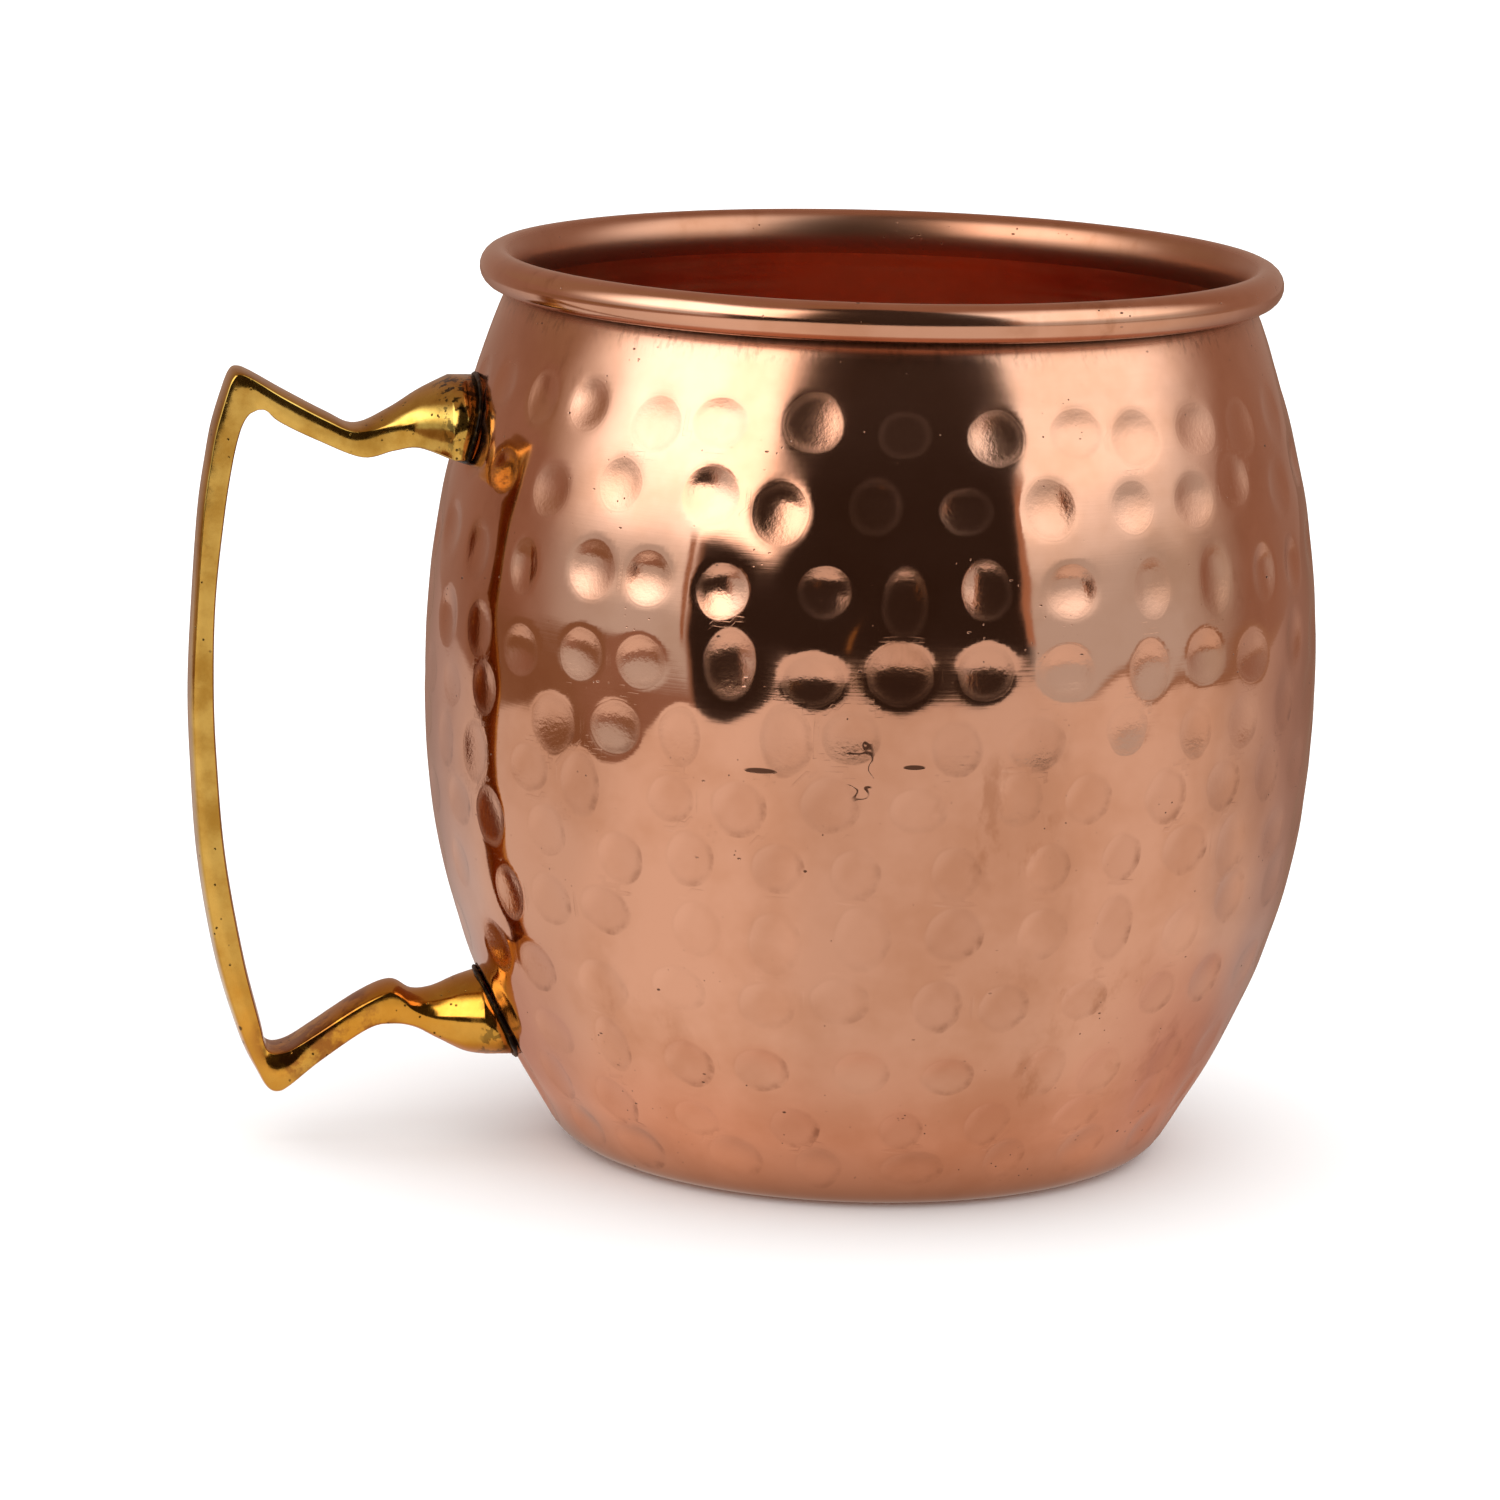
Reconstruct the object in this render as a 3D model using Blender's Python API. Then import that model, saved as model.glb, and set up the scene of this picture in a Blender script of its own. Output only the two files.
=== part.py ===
"""Hammered copper barrel mug with a cast brass handle.

The mug is one drawn copper sheet whose rim is rolled outward over a stiffening
wire. A cast brass handle is brazed to its wall at two feet. Sizes are in
millimetres and the model is in metres. +Z is up, the origin is the middle of the
base, where the mug stands, and the handle points along -X.
"""
import math

import bmesh
import bpy
from mathutils import Vector

MM = 0.001

# Copper body, outside sizes
BODY_HEIGHT = 95.0         # base plane to the top of the rolled rim
BELLY_RADIUS = 47.4        # widest part of the barrel
BELLY_HEIGHT = 51.0        # height of the widest part
BASE_RADIUS = 31.5         # where the barrel curve would meet the base plane
NECK_RADIUS = 40.0         # barrel curve at the neck
NECK_DROP = 6.0            # neck below the top of the rim
LOWER_FULLNESS = 2.28      # exponent of the barrel curve below the belly
UPPER_FULLNESS = 2.08      # exponent of the barrel curve above the belly
CORNER_RADIUS = 5.5        # bend between the flat base and the wall
SHEET = 0.7                # copper sheet

# Rolled rim and the wire inside it
MOUTH_RADIUS = 38.2        # inside of the roll, where the mouth is narrowest
ROLL_RADIUS = 2.0          # outside of the roll's own section
ROLL_END = math.radians(-100.0)   # where the sheet's edge tucks under

# Brass handle
UPPER_FOOT_DROP = 17.25    # upper foot's middle below the top of the rim
UPPER_FOOT_HEIGHT = 8.3
UPPER_FOOT_WIDTH = 16.0
LOWER_FOOT_RISE = 13.75    # lower foot's middle above the base plane
LOWER_FOOT_HEIGHT = 8.8
LOWER_FOOT_WIDTH = 13.0
FOOT_ROOT = 4.0            # how far a foot runs on into the wall before it is cut to fit
FINGER_GAP = 22.25         # belly to the grip's inner face
GRIP_THICKNESS = 2.7
GRIP_WIDTH = 6.4
FOOT_CROWN = 4.8           # how far a foot's upper side is domed
LOWER_FOOT_BELLY = 3.0     # how far the lower foot's underside is domed
EDGE_CROWN = 0.6           # how far the outer side is domed elsewhere
INNER_CROWN = 0.3          # how far the finger side is domed

# Brazing between the feet and the wall
BRAZE = 0.5                # its thickness
BRAZE_MARGIN = 0.45        # how far it shows round a foot
BRAZE_BLOCK = 10.0         # length of the block each joint is cut from
CLEARANCE = 0.3            # between touching pieces

# Mesh fineness
TURN_STEPS = 64
WALL_STEPS = 16
NECK_STEPS = 3
CORNER_STEPS = 3
ROLL_STEPS = 12
WIRE_SIDES = 10
CROWN_STEPS = 8
SPAN_STEPS = 2
SHARP_ANGLE = math.radians(40.0)

COPPER = (0.62, 0.27, 0.16)
BRASS = (0.60, 0.38, 0.10)
BRAZE_METAL = (0.06, 0.05, 0.045)
STEEL = (0.42, 0.41, 0.40)


def wall_radius(height):
    """Outside radius of the barrel wall at a height."""
    neck_height = BODY_HEIGHT - NECK_DROP
    if height < BELLY_HEIGHT:
        share = (BELLY_HEIGHT - height) / BELLY_HEIGHT
        return BELLY_RADIUS - (BELLY_RADIUS - BASE_RADIUS) * share ** LOWER_FULLNESS
    share = (height - BELLY_HEIGHT) / (neck_height - BELLY_HEIGHT)
    return BELLY_RADIUS - (BELLY_RADIUS - NECK_RADIUS) * share ** UPPER_FULLNESS


def wall_slope(height):
    """Change of the wall's radius for each millimetre of height."""
    step = 0.01
    return (wall_radius(height + step) - wall_radius(height - step)) / (2 * step)


def wall_line(offset):
    """Barrel wall from the base corner to the neck, moved out by an offset."""
    start, end = corner_top(), BODY_HEIGHT - NECK_DROP
    line = []
    for step in range(WALL_STEPS + 1):
        height = start + (end - start) * step / WALL_STEPS
        normal = Vector((1.0, -wall_slope(height))).normalized()
        line.append(Vector((wall_radius(height), height)) + offset * normal)
    return line


def corner_top():
    """Height where the base corner's arc runs into the barrel wall."""
    height = CORNER_RADIUS / 2
    for _ in range(30):
        height = CORNER_RADIUS * (1 - math.sin(math.atan(wall_slope(height))))
    return height


def roll_centre():
    """Middle of the rolled rim's section, where the wire runs."""
    return Vector((MOUTH_RADIUS + ROLL_RADIUS, BODY_HEIGHT - ROLL_RADIUS))


def base_line():
    """Middle of the sheet from the axis round the base corner, up to the wall."""
    half = SHEET / 2
    start = corner_top()
    lean = math.atan(wall_slope(start))
    centre = Vector((wall_radius(start) - CORNER_RADIUS * math.cos(lean), CORNER_RADIUS))
    line = [Vector((0.0, half))]
    for step in range(CORNER_STEPS + 1):
        angle = (math.pi / 2 - lean) * step / (CORNER_STEPS + 1) - math.pi / 2
        line.append(centre + (CORNER_RADIUS - half) * Vector((math.cos(angle), math.sin(angle))))
    return line


def rim_line(neck):
    """Middle of the sheet from the neck, up to the mouth and round the roll."""
    bend = ROLL_RADIUS - SHEET / 2
    centre = roll_centre()
    mouth = centre - Vector((bend, 0.0))
    rise = mouth.y - neck.y
    slope = wall_slope(BODY_HEIGHT - NECK_DROP)
    line = []
    for step in range(1, NECK_STEPS):
        t = step / NECK_STEPS
        radius = (neck.x * (1 + 2 * t) * (1 - t) ** 2 + slope * rise * t * (1 - t) ** 2
                  + mouth.x * t * t * (3 - 2 * t))
        line.append(Vector((radius, neck.y + rise * t)))
    for step in range(ROLL_STEPS + 1):
        angle = math.pi + (ROLL_END - math.pi) * step / ROLL_STEPS
        line.append(centre + bend * Vector((math.cos(angle), math.sin(angle))))
    return line


def sheet_outline():
    """Closed outline of the whole sheet: its outside from the axis, then back inside."""
    line = base_line() + wall_line(-SHEET / 2)
    line += rim_line(line[-1])
    outside, inside = [], []
    for index, point in enumerate(line):
        before, after = line[max(index - 1, 0)], line[min(index + 1, len(line) - 1)]
        along = (after - before).normalized() if index else Vector((1.0, 0.0))
        side = Vector((along.y, -along.x)) * SHEET / 2
        outside.append(point + side)
        inside.append(point - side)
    return outside + inside[::-1]


def handle_sections():
    """Sections of the handle from the upper foot round to the lower foot.

    Each is (outer point, inner point, width, outer crown, inner crown). A point is
    (distance from the mug's axis, height). The inner side is the finger side. Arm
    points are placed by their share of the way from the wall to the grip, and grip
    points by their share of the way down from the upper foot to the lower one.
    """
    top, low = BODY_HEIGHT - UPPER_FOOT_DROP, LOWER_FOOT_RISE
    top_wall, low_wall = wall_radius(top), wall_radius(low)
    grip = BELLY_RADIUS + FINGER_GAP + GRIP_THICKNESS
    top_half, low_half = UPPER_FOOT_HEIGHT / 2, LOWER_FOOT_HEIGHT / 2

    def upper(share, rise):
        return Vector((top_wall + (grip - top_wall) * share, top + rise))

    def lower(share, rise):
        return Vector((low_wall + (grip - low_wall) * share, low + rise))

    def down(share, setback):
        return Vector((grip - setback, top + (low - top) * share))

    arm = (GRIP_WIDTH, EDGE_CROWN, INNER_CROWN)
    return [
        # upper foot, run on into the wall
        (Vector((top_wall - FOOT_ROOT, top + top_half)),
         Vector((top_wall - FOOT_ROOT, top - top_half)),
         UPPER_FOOT_WIDTH, FOOT_CROWN, EDGE_CROWN),
        (upper(0.055, top_half), upper(0.055, -top_half), UPPER_FOOT_WIDTH, FOOT_CROWN, EDGE_CROWN),
        (upper(0.163, 2.7), upper(0.172, -3.2), 9.5, 3.2, 0.5),
        # dip of the upper arm
        (upper(0.275, 0.65), upper(0.262, -3.6), 7.2, 1.8, 0.4),
        (upper(0.398, -1.0), upper(0.377, -4.3), *arm),
        (upper(0.50, 0.15), upper(0.545, -2.5), *arm),
        (upper(0.65, 2.35), upper(0.68, -0.65), *arm),
        # upper corner
        (upper(0.782, 4.4), upper(0.725, 0.5), *arm),
        (upper(0.832, 4.9), upper(0.75, 0.65), *arm),
        (upper(0.860, 4.45), upper(0.767, 0.5), *arm),
        (upper(0.886, 2.6), upper(0.792, 0.0), *arm),
        (down(0.015, 2.2), down(0.024, 5.2), *arm),
        # grip
        (down(0.068, 1.6), down(0.076, 4.45), *arm),
        (down(0.158, 0.85), down(0.163, 3.65), *arm),
        (down(0.305, 0.3), down(0.305, 0.1 + GRIP_THICKNESS), *arm),
        (down(0.449, 0.0), down(0.449, GRIP_THICKNESS), *arm),
        (down(0.574, 0.3), down(0.574, 0.4 + GRIP_THICKNESS), *arm),
        (down(0.738, 1.15), down(0.733, 1.4 + GRIP_THICKNESS), *arm),
        (down(0.905, 3.1), down(0.90, 6.1), *arm),
        # lower corner
        (lower(0.825, -2.3), lower(0.754, -1.1), *arm),
        (lower(0.766, -6.2), lower(0.744, -2.8), *arm),
        (lower(0.733, -7.9), lower(0.726, -3.5), *arm),
        (lower(0.699, -8.3), lower(0.698, -3.6), *arm),
        (lower(0.66, -7.6), lower(0.655, -3.1), *arm),
        # crest of the lower arm
        (lower(0.561, -5.0), lower(0.59, -1.5), GRIP_WIDTH, 0.6, 0.6),
        (lower(0.41, -1.6), lower(0.44, 1.9), GRIP_WIDTH, 0.6, 0.9),
        (lower(0.33, -1.05), lower(0.335, 3.35), GRIP_WIDTH, 0.6, 1.1),
        (lower(0.26, -1.4), lower(0.267, 2.4), 6.8, 0.7, 1.7),
        (lower(0.19, -2.55), lower(0.20, 2.6), 8.0, 1.0, 2.8),
        # lower foot, run on into the wall
        (lower(0.10, -4.0), lower(0.12, 3.7), 10.6, 2.0, 4.2),
        (lower(0.03, -low_half), lower(0.05, low_half),
         LOWER_FOOT_WIDTH, LOWER_FOOT_BELLY, FOOT_CROWN),
        (Vector((low_wall - FOOT_ROOT, low - low_half)),
         Vector((low_wall - FOOT_ROOT, low + low_half)),
         LOWER_FOOT_WIDTH, LOWER_FOOT_BELLY, FOOT_CROWN),
    ]


def smooth_between(values, steps):
    """Catmull-Rom curve through a list of vectors, with extra points in each span."""
    line = []
    last = len(values) - 1
    for index in range(last):
        before, start = values[max(index - 1, 0)], values[index]
        end, after = values[index + 1], values[min(index + 2, last)]
        for step in range(steps):
            t = step / steps
            line.append(0.5 * (2 * start + (end - before) * t
                               + (2 * before - 5 * start + 4 * end - after) * t * t
                               + (3 * start - before - 3 * end + after) * t ** 3))
    line.append(values[last])
    return line


def section_ring(outer, inner, width, outer_crown, inner_crown):
    """Ring of 3-D points: flat flanks, and a low elliptical crown on each side."""
    out = (outer - inner).normalized()
    ring = []
    for edge, crown, sign in ((outer, outer_crown, 1), (inner, inner_crown, -1)):
        base = edge - out * crown * sign
        for step in range(CROWN_STEPS + 1):
            angle = math.pi * step / CROWN_STEPS
            across = math.cos(angle) * width / 2 * sign
            spot = base + out * crown * math.sin(angle) * sign
            ring.append(Vector((-spot.x, -across, spot.y)))
    return ring


def handle_mesh():
    """The whole handle, its feet still run on into the wall."""
    sections = handle_sections()
    outers = smooth_between([section[0] for section in sections], SPAN_STEPS)
    inners = smooth_between([section[1] for section in sections], SPAN_STEPS)
    sizes = smooth_between([Vector(section[2:]) for section in sections], SPAN_STEPS)
    return lofted("handle", [section_ring(outer, inner, *size)
                             for outer, inner, size in zip(outers, inners, sizes)])


def turned(name, outline, on_axis):
    """Turn a closed outline of (radius, height) points round the Z axis into a mesh."""
    shape = bmesh.new()
    points = [shape.verts.new((point.x * MM, 0.0, point.y * MM)) for point in outline]
    ends = points[1:] if on_axis else points[1:] + points[:1]
    edges = [shape.edges.new(pair) for pair in zip(points, ends)]
    bmesh.ops.spin(shape, geom=points + edges, cent=(0, 0, 0), axis=(0, 0, 1),
                   angle=2 * math.pi, steps=TURN_STEPS, use_merge=True)
    bmesh.ops.remove_doubles(shape, verts=shape.verts, dist=1e-7)
    return finished(name, shape)


def lofted(name, rings):
    """Skin a row of equal rings into one closed mesh with flat ends."""
    shape = bmesh.new()
    rows = [[shape.verts.new(point * MM) for point in ring] for ring in rings]
    for near, far in zip(rows, rows[1:]):
        for index, corner in enumerate(near):
            following = (index + 1) % len(near)
            shape.faces.new((corner, near[following], far[following], far[index]))
    shape.faces.new(rows[0][::-1])
    shape.faces.new(rows[-1])
    return finished(name, shape)


def finished(name, shape):
    """Turn a bmesh into a mesh whose faces point out."""
    bmesh.ops.recalc_face_normals(shape, faces=shape.faces)
    mesh = bpy.data.meshes.new(name)
    shape.to_mesh(mesh)
    shape.free()
    mesh.shade_smooth()
    mesh.set_sharp_from_angle(angle=SHARP_ANGLE)
    return mesh


def metal(name, colour, roughness):
    """Plain metal of one colour."""
    material = bpy.data.materials.new(name)
    material.use_nodes = True
    shader = material.node_tree.nodes["Principled BSDF"]
    shader.inputs["Base Color"].default_value = (*colour, 1.0)
    shader.inputs["Metallic"].default_value = 1.0
    shader.inputs["Roughness"].default_value = roughness
    return material


def placed(mesh, parent, material=None):
    """Link a mesh as an object under the mug's empty."""
    piece = bpy.data.objects.new(mesh.name, mesh)
    if material:
        mesh.materials.append(material)
    piece.parent = parent
    bpy.context.scene.collection.objects.link(piece)
    return piece


def cutter(mesh, parent):
    """Link a mesh that only shapes other pieces."""
    piece = placed(mesh, parent)
    piece.hide_render = True
    piece.display_type = "WIRE"
    return piece


def shape_with(piece, other, operation):
    """Add a Boolean modifier."""
    step = piece.modifiers.new(other.name, "BOOLEAN")
    step.operation = operation
    step.object = other
    step.solver = "EXACT"


def wire_mesh():
    """The wire that the rim is rolled over, clear of the roll all round."""
    radius = ROLL_RADIUS - SHEET - CLEARANCE
    outline = []
    for step in range(WIRE_SIDES):
        angle = 2 * math.pi * step / WIRE_SIDES
        outline.append(roll_centre() + radius * Vector((math.cos(angle), math.sin(angle))))
    return turned("rim_wire", outline, on_axis=False)


def wall_cutter_mesh():
    """Solid filled mug whose wall stands off by the braze and its clearances."""
    line = wall_line(CLEARANCE + BRAZE + CLEARANCE)
    outline = [Vector((0.0, line[0].y))] + line + [Vector((0.0, line[-1].y))]
    return turned("wall_cutter", outline, on_axis=True)


def braze_shell_mesh():
    """Skin round the wall, as thick as the braze."""
    outline = wall_line(CLEARANCE + BRAZE) + wall_line(CLEARANCE)[::-1]
    return turned("braze_shell", outline, on_axis=False)


def braze_mesh(name, section):
    """Block a little larger than a foot, reaching through the wall."""
    outer, inner, width, outer_crown, inner_crown = section
    grow = (outer - inner).normalized() * BRAZE_MARGIN
    reach = Vector((BRAZE_BLOCK, 0.0))
    wide = width + 2 * BRAZE_MARGIN
    return lofted(name, [section_ring(outer + grow + step, inner - grow + step, wide,
                                      outer_crown + BRAZE_MARGIN, inner_crown + BRAZE_MARGIN)
                         for step in (Vector((0.0, 0.0)), reach)])


def main():
    for thing in list(bpy.data.objects):
        bpy.data.objects.remove(thing, do_unlink=True)
    mug = bpy.data.objects.new("mug", None)
    bpy.context.scene.collection.objects.link(mug)

    wall_cutter = cutter(wall_cutter_mesh(), mug)
    braze_shell = cutter(braze_shell_mesh(), mug)

    placed(turned("mug_body", sheet_outline(), on_axis=True), mug,
           metal("polished copper", COPPER, 0.15))
    placed(wire_mesh(), mug, metal("drawn steel wire", STEEL, 0.4))
    handle = placed(handle_mesh(), mug, metal("cast brass", BRASS, 0.2))
    shape_with(handle, wall_cutter, "DIFFERENCE")
    brazing = metal("dark braze", BRAZE_METAL, 0.5)
    sections = handle_sections()
    for name, section in (("upper_braze_joint", sections[0]), ("lower_braze_joint", sections[-1])):
        joint = placed(braze_mesh(name, section), mug, brazing)
        shape_with(joint, braze_shell, "INTERSECT")


main()
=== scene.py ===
"""Hammered copper barrel mug with a cast brass handle, on a pale studio floor.

Lengths in the constants are in millimetres, and meshes are in metres. The mug's axis
is Z, its handle points along -X, and an azimuth is measured round Z from -Y to +X.
"""
import math
from collections import namedtuple

import bpy
import numpy as np
from mathutils import Matrix, Vector, noise


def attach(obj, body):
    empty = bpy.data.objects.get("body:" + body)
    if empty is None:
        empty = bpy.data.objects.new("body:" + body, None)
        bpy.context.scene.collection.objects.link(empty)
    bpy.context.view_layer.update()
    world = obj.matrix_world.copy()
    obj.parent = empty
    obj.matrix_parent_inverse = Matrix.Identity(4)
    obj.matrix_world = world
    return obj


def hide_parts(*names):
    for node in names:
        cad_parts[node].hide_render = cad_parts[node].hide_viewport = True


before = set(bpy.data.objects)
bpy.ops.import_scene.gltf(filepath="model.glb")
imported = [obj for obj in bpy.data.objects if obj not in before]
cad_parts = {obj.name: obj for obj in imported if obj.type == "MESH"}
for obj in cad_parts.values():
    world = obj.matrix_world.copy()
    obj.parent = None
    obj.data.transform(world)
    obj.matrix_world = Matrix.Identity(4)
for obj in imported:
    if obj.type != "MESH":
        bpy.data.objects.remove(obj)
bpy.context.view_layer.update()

MM = 0.001
# A whole turn in radians, and degrees in a radian
TURN = 2 * math.pi
DEGREES = 180 / math.pi

# Copper body, as the frame has it
BODY_HEIGHT = 95.0
BELLY_RADIUS = 47.4
BELLY_HEIGHT = 51.0
BASE_RADIUS = 31.5
NECK_RADIUS = 40.0
NECK_DROP = 6.0
LOWER_FULLNESS = 2.28
UPPER_FULLNESS = 2.08
CORNER_RADIUS = 5.5
SHEET = 0.7
MOUTH_RADIUS = 38.2
ROLL_RADIUS = 2.0
ROLL_END = math.radians(-100.0)

# Brass handle, as the frame has it
UPPER_FOOT_DROP = 17.25
UPPER_FOOT_HEIGHT = 8.3
UPPER_FOOT_WIDTH = 16.0
LOWER_FOOT_RISE = 13.75
LOWER_FOOT_HEIGHT = 8.8
LOWER_FOOT_WIDTH = 13.0
FINGER_GAP = 22.25
GRIP_THICKNESS = 2.7
GRIP_WIDTH = 6.4
FOOT_CROWN = 4.8
LOWER_FOOT_BELLY = 3.0
EDGE_CROWN = 0.6
INNER_CROWN = 0.3

# Rows of hammer marks: height, marks in the row, azimuth of one of them in degrees,
# and how hard the row was struck
HAMMER_ROWS = (
    (82.0, 31, 5.0, 1.0), (75.0, 31, 1.5, 1.1), (66.3, 33, -5.0, 1.4), (58.3, 34, 5.0, 1.1),
    (51.8, 33, -9.5, 0.6), (45.2, 33, 8.0, 0.6), (39.0, 33, 1.5, 0.8), (31.8, 32, 2.5, 0.9),
    (24.2, 31, -0.5, 0.9), (16.3, 28, 3.0, 0.9), (10.0, 23, -4.0, 0.9), (5.3, 22, 0.0, 0.9),
)
MARK_RADIUS = 2.85
MARK_DEPTH = 0.235
# The hammer leaned, so a mark is deeper towards its top by this share
MARK_LEAN = 0.4
# Each blow also draws the sheet in a little round its mark
DENT_REACH = 8.0
DENT_DEPTH = 0.13
# Rows within this many dent reaches of a mark's height are worked out
REACHED = 1.3
# Wide soft dents where the sheet gave way: height, azimuth in degrees, depth
SOFT_DENTS = (
    (55.0, 8.0, 0.13), (54.0, -43.5, 0.3), (53.0, 26.0, 0.1), (49.0, 60.0, 0.2),
    (56.0, 100.0, 0.16), (47.0, 143.0, 0.2), (55.0, -152.0, 0.2),
)
# Depth over which a mark's edge is rounded off
MARK_EDGE = 0.014
# Slow swell of the sheet between the marks
SWELL_DEPTH = 0.065
# The hammering starts this high and dies out over this height at both ends of the wall
HAMMERED_FROM = 1.5
HAMMER_FADE = 4.0
# How much deeper the rim's roll runs on its inner side
INSIDE_FLARE = 1.0
# The buffing wheel reaches this height inside
POLISHED_DOWN_TO = 90.0
# Stands for a distance that is out of any mark's reach, in mark radii
FAR_AWAY = 9.0

# Mesh columns round the outside and the inside of the copper
OUTER_COLUMNS = 492
INNER_COLUMNS = OUTER_COLUMNS // 2

# Camera: degrees that it stands round from the front, and degrees that it is tilted
CAMERA_TURN = 9.5
CAMERA_ROLL = 1.512
# Half the floor's side, in metres
FLOOR_REACH = 2.6

Mark = namedtuple("Mark", "azimuth height radius oval depth dent tone")


def wall_radius(height):
    """Outside radius of the barrel wall at a height."""
    neck_height = BODY_HEIGHT - NECK_DROP
    if height < BELLY_HEIGHT:
        share = (BELLY_HEIGHT - height) / BELLY_HEIGHT
        return BELLY_RADIUS - (BELLY_RADIUS - BASE_RADIUS) * share ** LOWER_FULLNESS
    share = (height - BELLY_HEIGHT) / (neck_height - BELLY_HEIGHT)
    return BELLY_RADIUS - (BELLY_RADIUS - NECK_RADIUS) * share ** UPPER_FULLNESS


def wall_slope(height):
    """Change of the wall's radius for each millimetre of height."""
    step = 0.01
    return (wall_radius(height + step) - wall_radius(height - step)) / (2 * step)


def corner_top():
    """Height where the base corner's arc runs into the barrel wall."""
    height = CORNER_RADIUS / 2
    for _ in range(30):
        height = CORNER_RADIUS * (1 - math.sin(math.atan(wall_slope(height))))
    return height


def sheet_line(base_rings, corner_steps, wall_rows, neck_steps, roll_steps):
    """Middle of the sheet from the axis, out and up to the rim and round its roll."""
    half = SHEET / 2
    start, end = corner_top(), BODY_HEIGHT - NECK_DROP
    lean = math.atan(wall_slope(start))
    centre = Vector((wall_radius(start) - CORNER_RADIUS * math.cos(lean), CORNER_RADIUS))
    line = [Vector((centre.x * step / base_rings, half)) for step in range(base_rings)]
    for step in range(corner_steps):
        angle = (math.pi / 2 - lean) * step / corner_steps - math.pi / 2
        line.append(centre + (CORNER_RADIUS - half) * Vector((math.cos(angle), math.sin(angle))))
    for step in range(wall_rows + 1):
        height = start + (end - start) * step / wall_rows
        normal = Vector((1.0, -wall_slope(height))).normalized()
        line.append(Vector((wall_radius(height), height)) - half * normal)
    neck = line[-1]
    bend = ROLL_RADIUS - half
    centre = Vector((MOUTH_RADIUS + ROLL_RADIUS, BODY_HEIGHT - ROLL_RADIUS))
    mouth = centre - Vector((bend, INSIDE_FLARE))
    rise = mouth.y - neck.y
    slope = wall_slope(end)
    for step in range(1, neck_steps):
        t = step / neck_steps
        radius = (neck.x * (1 + 2 * t) * (1 - t) ** 2 + slope * rise * t * (1 - t) ** 2
                  + mouth.x * t * t * (3 - 2 * t))
        line.append(Vector((radius, neck.y + rise * t)))
    for step in range(roll_steps + 1):
        angle = math.pi + (ROLL_END - math.pi) * step / roll_steps
        spot = centre + bend * Vector((math.cos(angle), math.sin(angle)))
        if angle > math.pi / 2:
            spot.y -= INSIDE_FLARE * (1 - math.sin(angle))
        line.append(spot)
    return line


def side_of(line):
    """Points of a line as (radius, height, outward radius part, outward height part)."""
    rows = []
    for index, point in enumerate(line):
        before, after = line[max(index - 1, 0)], line[min(index + 1, len(line) - 1)]
        along = (after - before).normalized() if index else Vector((1.0, 0.0))
        rows.append((point.x, point.y, along.y, -along.x))
    return np.array(rows)


def hammer_marks():
    """Every mark of every row, each a little off the row's spacing, size and depth."""
    chance = np.random.RandomState(7)
    marks = []
    for height, count, azimuth, struck in HAMMER_ROWS:
        for index in range(count):
            drift, lift, large, wide, deep, drawn = chance.normal(size=6)
            # the spread is in degrees for the azimuth, in mm for the height, then in shares
            marks.append(Mark(
                azimuth=math.radians(azimuth + 360.0 * index / count + 1.0 * drift),
                height=height + 0.55 * lift,
                radius=MARK_RADIUS * (1 + 0.06 * large),
                oval=1 + 0.07 * wide,
                depth=MARK_DEPTH * struck * (1 + 0.15 * deep),
                dent=DENT_DEPTH * (1 + 0.4 * drawn),
                tone=chance.uniform(),
            ))
    return marks


def from_mark(turn, rise, azimuth, height, oval=1.0):
    """Distances across and up the wall from a mark, in millimetres, as if it were round."""
    slope = wall_slope(height)
    along = (turn - azimuth + math.pi) % TURN - math.pi
    across = along * wall_radius(height) / oval
    return across, (rise - height) * math.sqrt(1 + slope * slope) * oval


def dented(apart, depth):
    """Depth of a wide soft dent, by the square of the distance from its middle."""
    return depth * np.clip(1 - apart / DENT_REACH ** 2, 0, 1) ** 3


def hammered(azimuths, heights, marks):
    """How far the sheet is driven in at each place, in millimetres."""
    turn, rise = np.meshgrid(azimuths, heights)
    depth = np.zeros_like(turn)
    for mark in marks:
        near = np.abs(heights - mark.height) < REACHED * DENT_REACH
        across, up = from_mark(turn[near], rise[near], mark.azimuth, mark.height, mark.oval)
        apart = across ** 2 + up ** 2
        lean = 1 + MARK_LEAN * np.clip(up / mark.radius, -1, 1)
        bowl = mark.depth * (1 - apart / mark.radius ** 2) * lean
        depth[near] += 0.5 * (bowl + np.sqrt(bowl ** 2 + MARK_EDGE ** 2))
        depth[near] += dented(apart, mark.dent)
    for height, azimuth, deep in SOFT_DENTS:
        across, up = from_mark(turn, rise, math.radians(azimuth), height)
        depth += dented(across ** 2 + up ** 2, deep)
    return depth


def mark_map(azimuths, heights, marks):
    """Place in the nearest mark, in mark radii, with its tone and the distance to it."""
    turn, rise = np.meshgrid(azimuths, heights)
    found = np.full((*turn.shape, 4), FAR_AWAY)
    for mark in marks:
        across, up = from_mark(turn, rise, mark.azimuth, mark.height, mark.oval)
        across, up = across / mark.radius, up / mark.radius
        apart = np.hypot(across, up)
        nearer = apart < found[..., 3]
        place = np.stack([across, up, np.full_like(across, mark.tone), apart], axis=2)
        found[nearer] = place[nearer]
    return found


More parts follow.
